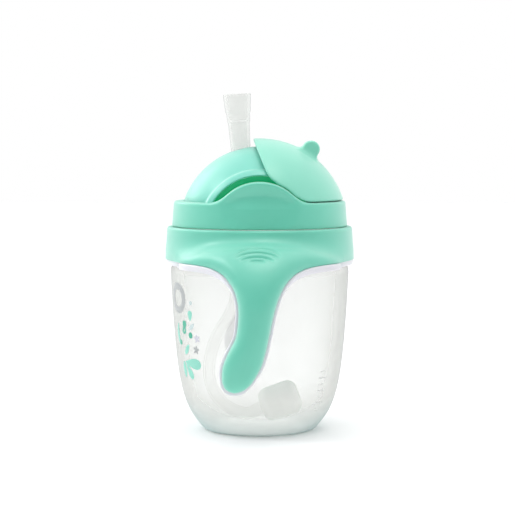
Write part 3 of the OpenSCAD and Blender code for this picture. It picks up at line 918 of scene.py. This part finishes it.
# The cup's bottom is hazier, and its darker tint there is painted shade near the floor
CUP_OUTSIDE = clear("cup_plastic", (226, 227, 220), (144, 146, 143), (0.12, 0.92), (0.3, 0.4),
                    hazy_and_shaded_bottom=(1, 16, 0.36, (196, 215, 213)), start=0.16, steep=1.4, behind=(0.5, 0.7))
CUP_INSIDE = clear("cup_inside", (238, 239, 233), (225, 226, 222), (0.02, 0.1), (0.3, 0.4))
HOSE = clear("hose_silicone", (232, 233, 226), (64, 68, 62), (0.05, 1.0), (0.25, 0.35), start=0.66,
             steep=1.1, grain=0, shine=0.25)
SPOUT = clear("spout_silicone", (226, 226, 222), (82, 82, 86), (0.25, 1.0), (0.3, 0.4), start=0.6,
              steep=1.3, grain=0, shine=0.15, behind=(0.3, 0.7))
SILICONE = clear("clear_silicone", (236, 238, 232), (160, 162, 158), (0.25, 0.85), (0.22, 0.34), start=0.5)
STEEL = steel("weight_steel")


# ---------------------------------------------------------------- pieces

def finished(piece, body, nodes, material):
    """Gives a piece its body and its material, and hides the CAD nodes that it stands for."""
    if material:
        piece.data.materials.clear()
        piece.data.materials.append(material)
    if body:
        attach(piece, body)
    if nodes:
        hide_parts(*nodes)
    return piece


tube = finished(sweep("straw_tube_soft", tube_route, TUBE_R, TUBE_BORE), "straw", ["straw_tube"],
                HOSE)
halves = [finished(weight_half(f"{name}_shape", side), "straw", [name], MILKY)
          for name, side in (("weight_front_shell", 1), ("weight_rear_shell", -1))]

for node, material in (("weight_core", STEEL), ("weight_sleeve", MILKY), ("straw_holder", WHITE),
                       ("rim_seal", SEAL)):
    for material_slot in frame["nodes"][node].material_slots:
        material_slot.material = material

finished(make_cup(CUP_OUTSIDE, CUP_INSIDE), "root", ["cup_body"], None)
finished(surface("handle_grip_shape", grip_field, (-41, -63, 21.5), (41, 0, 87.5)), "root",
         ["handle_grip"], GRIP_MINT)
core = surface("handle_core_shape", core_field, (-41, -58, 20.5), (41, 0, 75))
finished(merge(core, make_core_ring()), "root", ["handle_core"], WHITE)

collar = surface("lid_collar_shape", collar_field, (-38, -38, 85), (38, 0, 107))
finished(merge(collar, thread("collar_thread", COLLAR_BORE, -1, 87.35)), "lid", ["lid_collar"],
         LID_MINT)
finished(surface("lid_dome_shape", dome_field, (-36, -36, 92.6), (36, 0, 122.1)), "lid", ["lid_dome"],
         DOME_MINT)
finished(surface("slide_cover_shape", cover_field, (-5, -39, 95.6), (38.5, 0, 124.6)), "cover",
         ["slide_cover"], COVER_MINT)
finished(make_valve(), "lid", ["vent_valve"], SILICONE)

spout = finished(make_mouthpiece(), None, ["mouthpiece", "mouthpiece_root"], SPOUT)
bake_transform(spout)


# ---------------------------------------------------------------- print on the drinking side

# Material, its colour and its marks: kind, place round, height, half size, turn and inner hole.
PRINT = {
    "print_grey": ((176, 179, 179), [("disc", 15.2, 56.9, 6.4, 0, 0.58), ("star", 27.1, 36.2, 1.9, 10, 0)]),
    "print_mint": ((146, 222, 202), [("drop", 24.3, 50.2, 2.1, 180, 0), ("leaf", 20.6, 35.8, 2.7, 38, 0),
                                     ("petal", 23.6, 30.2, 5.7, -88, 0), ("petal", 20.9, 27.1, 4.1, -34, 0),
                                     ("leaf", 17.0, 27.2, 3.4, -3, 0),
                                     ("crescent", 14.6, 41.9, 4.6, 176, 0)]),
    "print_green": ((74, 182, 152), [("disc", 19.8, 46.4, 1.5, 0, 0), ("disc", 19.4, 43.7, 1.5, 0, 0.35),
                                     ("disc", 24.0, 42.0, 1.3, 0, 0), ("disc", 15.6, 38.4, 1.1, 0, 0)]),
    "print_pale": ((208, 222, 222), [("leaf", 24.9, 45.6, 2.3, 50, 0), ("disc", 25.1, 55.5, 0.9, 0, 0)]),
    "print_lilac": ((216, 214, 226), [("star", 28.0, 41.0, 1.9, -12, 0)]),
    "volume_marks": ((226, 228, 225), [("bar", 87 + 0.4 * (i % 2), 11 + 2.7 * i, 1.4 + i % 2, 0, 0)
                                       for i in range(7)]),
}
for name, (colour, marks) in PRINT.items():
    finished(make_print(name, marks), "root", [], ink(name, colour))


# ---------------------------------------------------------------- floor and light

FRONT, BACK, CEILING = 0.22, 1.05, 1.42        # strengths of the surroundings


LIT_POINT = (0, 0, 0.08)     # middle of the handle ring, which the lamps look at


def make_floor():
    """White floor with a dull surface."""
    size = 2.5
    corners = [(-size, -size, 0), (size, -size, 0), (size, size, 0), (-size, size, 0)]
    mesh = bpy.data.meshes.new("floor")
    mesh.from_pydata(corners, [], [(0, 1, 2, 3)])
    floor = bpy.data.objects.new("floor", mesh)
    bpy.context.scene.collection.objects.link(floor)
    made = Finish("floor")
    made.set(Base_Color=made.mix(made.noise(30), linear(250, 250, 250), linear(248, 248, 248)))
    made.set(Roughness=0.7, Specular_IOR_Level=0.2)
    mesh.materials.append(made.material)


def softbox(name, place, size, power, colour):
    """Area light that looks at the handle ring."""
    light = bpy.data.lights.new(name, "AREA")
    light.shape = "RECTANGLE"
    light.size, light.size_y = size
    light.energy = power
    light.color = colour
    lamp = bpy.data.objects.new(name, light)
    lamp.location = place
    look_at(lamp, LIT_POINT)
    bpy.context.scene.collection.objects.link(lamp)


def make_world():
    """White for the eye; for light, a bright ceiling, medium sides and back, and a dark front."""
    world = bpy.data.worlds.new("world")
    bpy.context.scene.world = world
    world.use_nodes = True
    tree = world.node_tree
    nodes = tree.nodes
    seen = nodes["Background"]
    seen.inputs["Color"].default_value = (1, 1, 1, 1)
    seen.inputs["Strength"].default_value = 1.0
    lit = nodes.new("ShaderNodeBackground")
    lit.inputs["Color"].default_value = (0.98, 0.99, 1, 1)
    place = nodes.new("ShaderNodeTexCoord").outputs["Generated"]
    parts = []
    # A direction, the two cosines to it between which the light changes, and the strength at each.
    for way, low, high, weak, strong in (((0, -0.94, -0.34), -0.3, 0.8, BACK, FRONT),
                                         ((0, 0, 1), 0.4, 0.7, 0.0, CEILING - BACK)):
        toward = nodes.new("ShaderNodeVectorMath")
        toward.operation = "DOT_PRODUCT"
        toward.inputs[1].default_value = way
        tree.links.new(place, toward.inputs[0])
        parts.append(mapped(tree, toward.outputs["Value"], weak, strong, low, high))
    total = nodes.new("ShaderNodeMath")
    tree.links.new(parts[0], total.inputs[0])
    tree.links.new(parts[1], total.inputs[1])
    tree.links.new(total.outputs[0], lit.inputs["Strength"])
    pick = nodes.new("ShaderNodeMixShader")
    tree.links.new(nodes.new("ShaderNodeLightPath").outputs["Is Camera Ray"], pick.inputs[0])
    tree.links.new(lit.outputs[0], pick.inputs[1])
    tree.links.new(seen.outputs[0], pick.inputs[2])
    tree.links.new(pick.outputs[0], nodes["World Output"].inputs["Surface"])


make_floor()
make_world()
softbox("key_left", (-0.5, 0.46, 0.42), (0.36, 0.36), 1.0, (0.94, 0.99, 1.0))
softbox("flank", (-0.5, -0.02, 0.57), (0.14, 0.14), 0.9, (0.9, 0.97, 1.0))
softbox("top", (0.06, -0.16, 0.68), (0.26, 0.22), 0.8, (1.0, 0.99, 0.97))
bpy.context.scene.view_settings.view_transform = "Standard"
bpy.context.scene.cycles.transparent_max_bounces = 48
